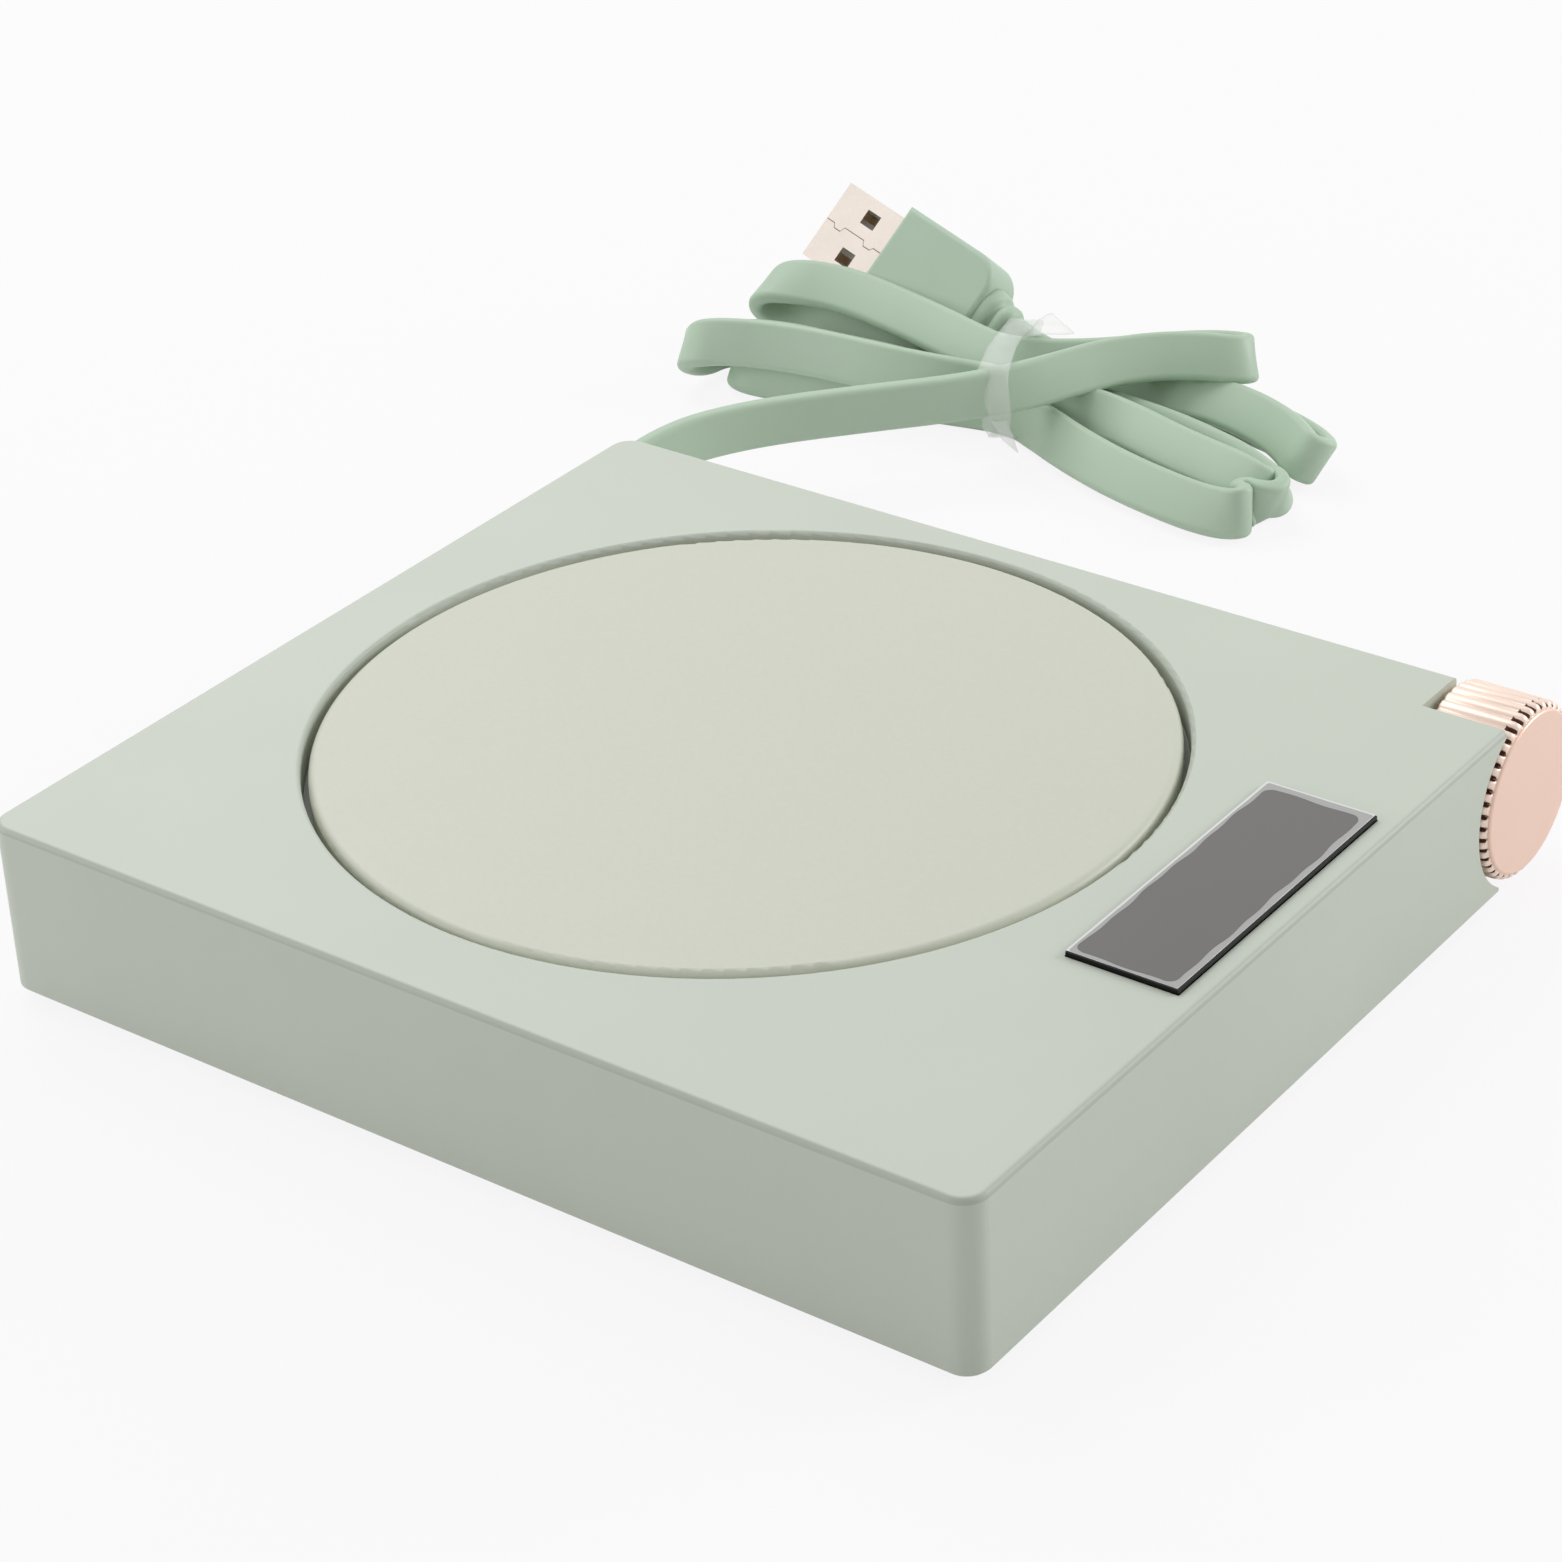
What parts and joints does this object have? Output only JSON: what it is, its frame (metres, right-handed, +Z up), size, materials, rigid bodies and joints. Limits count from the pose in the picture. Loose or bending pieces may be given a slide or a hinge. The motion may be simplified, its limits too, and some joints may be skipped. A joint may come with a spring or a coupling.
{
  "type": "mug warmer",
  "caption": "Flat square electric mug warmer with a round heating plate, a display window, a fluted thumb-wheel knob in one corner and a flat USB lead tied in a hank",
  "frame": {"origin": "middle of the footprint (housing and knob, without the lead), on the table that the feet stand on", "axes": "+Z up, -Y the display side, +X the side that the knob stands out of; the lead leaves the +Y side"},
  "size_m": [0.1965, 0.1602, 0.0222],
  "materials": {
    "housing_white": "fine satin texture",
    "cover_white": "fine matte texture",
    "plate_cream": "satin enamel with a fine grain",
    "silicone_grey": "matte",
    "foot_rubber": "matte",
    "film_amber": "glossy film",
    "glass_felt": "fibrous",
    "screw_steel": "zinc plated",
    "sheet_aluminium": "plain rolled",
    "window_smoke": "polished",
    "electronics_black": "moulded",
    "board_green": "solder mask",
    "nylon_white": "moulded",
    "shaft_steel": "ground",
    "knob_blush": "satin gloss",
    "wire_red": "wire insulation",
    "wire_white": "wire insulation",
    "lead_mint": "soft satin jacket",
    "tie_film": "thin translucent film",
    "plug_mint": "soft satin moulding",
    "plug_steel": "nickel plated",
    "contact_gold": "plated"
  },
  "bodies": {
    "housing": {"top_housing": "housing_white", "bottom_cover": "cover_white", "rubber_feet": "foot_rubber", "cover_screws": "screw_steel", "warming_plate": "plate_cream", "plate_gasket": "silicone_grey", "heating_film": "film_amber", "insulation_pad": "glass_felt", "thermistor": "electronics_black", "thermal_cutout": "sheet_aluminium", "heater_retainer": "sheet_aluminium", "retainer_screws": "screw_steel", "display_window": "window_smoke", "display_module": "electronics_black", "control_board": "board_green", "board_chips": "electronics_black", "wire_sockets": "nylon_white", "board_screws": "screw_steel", "encoder_body": "electronics_black", "encoder_board": "board_green", "lead_wires": "wire_red", "heater_wires": "wire_red", "encoder_wires": "wire_white", "cable_gland": "lead_mint", "cord_lead": "lead_mint", "cord_hank": "lead_mint", "cord_tie": "tie_film", "plug_strain_relief": "plug_mint", "plug_overmold": "plug_mint", "plug_shell": "plug_steel", "plug_tongue": "nylon_white", "plug_contacts": "contact_gold"},
    "press": {"switch_plunger": "nylon_white"},
    "knob": {"encoder_shaft": "shaft_steel", "knob_sleeve": "knob_blush", "knob_cap": "knob_blush"}
  },
  "joints": [
    {"name": "knob_press", "type": "slide", "parent": "housing", "child": "press", "axis": [0, 1, 0], "range_m": [0, 0.0006], "stiffness_N_per_m": 2000, "springref_m": -0.0005},
    {"name": "knob_turn", "type": "hinge", "parent": "press", "child": "knob", "pos_m": [0.0488, -0.058, 0.01145], "axis": [0, 1, 0], "continuous": true}
  ]
}
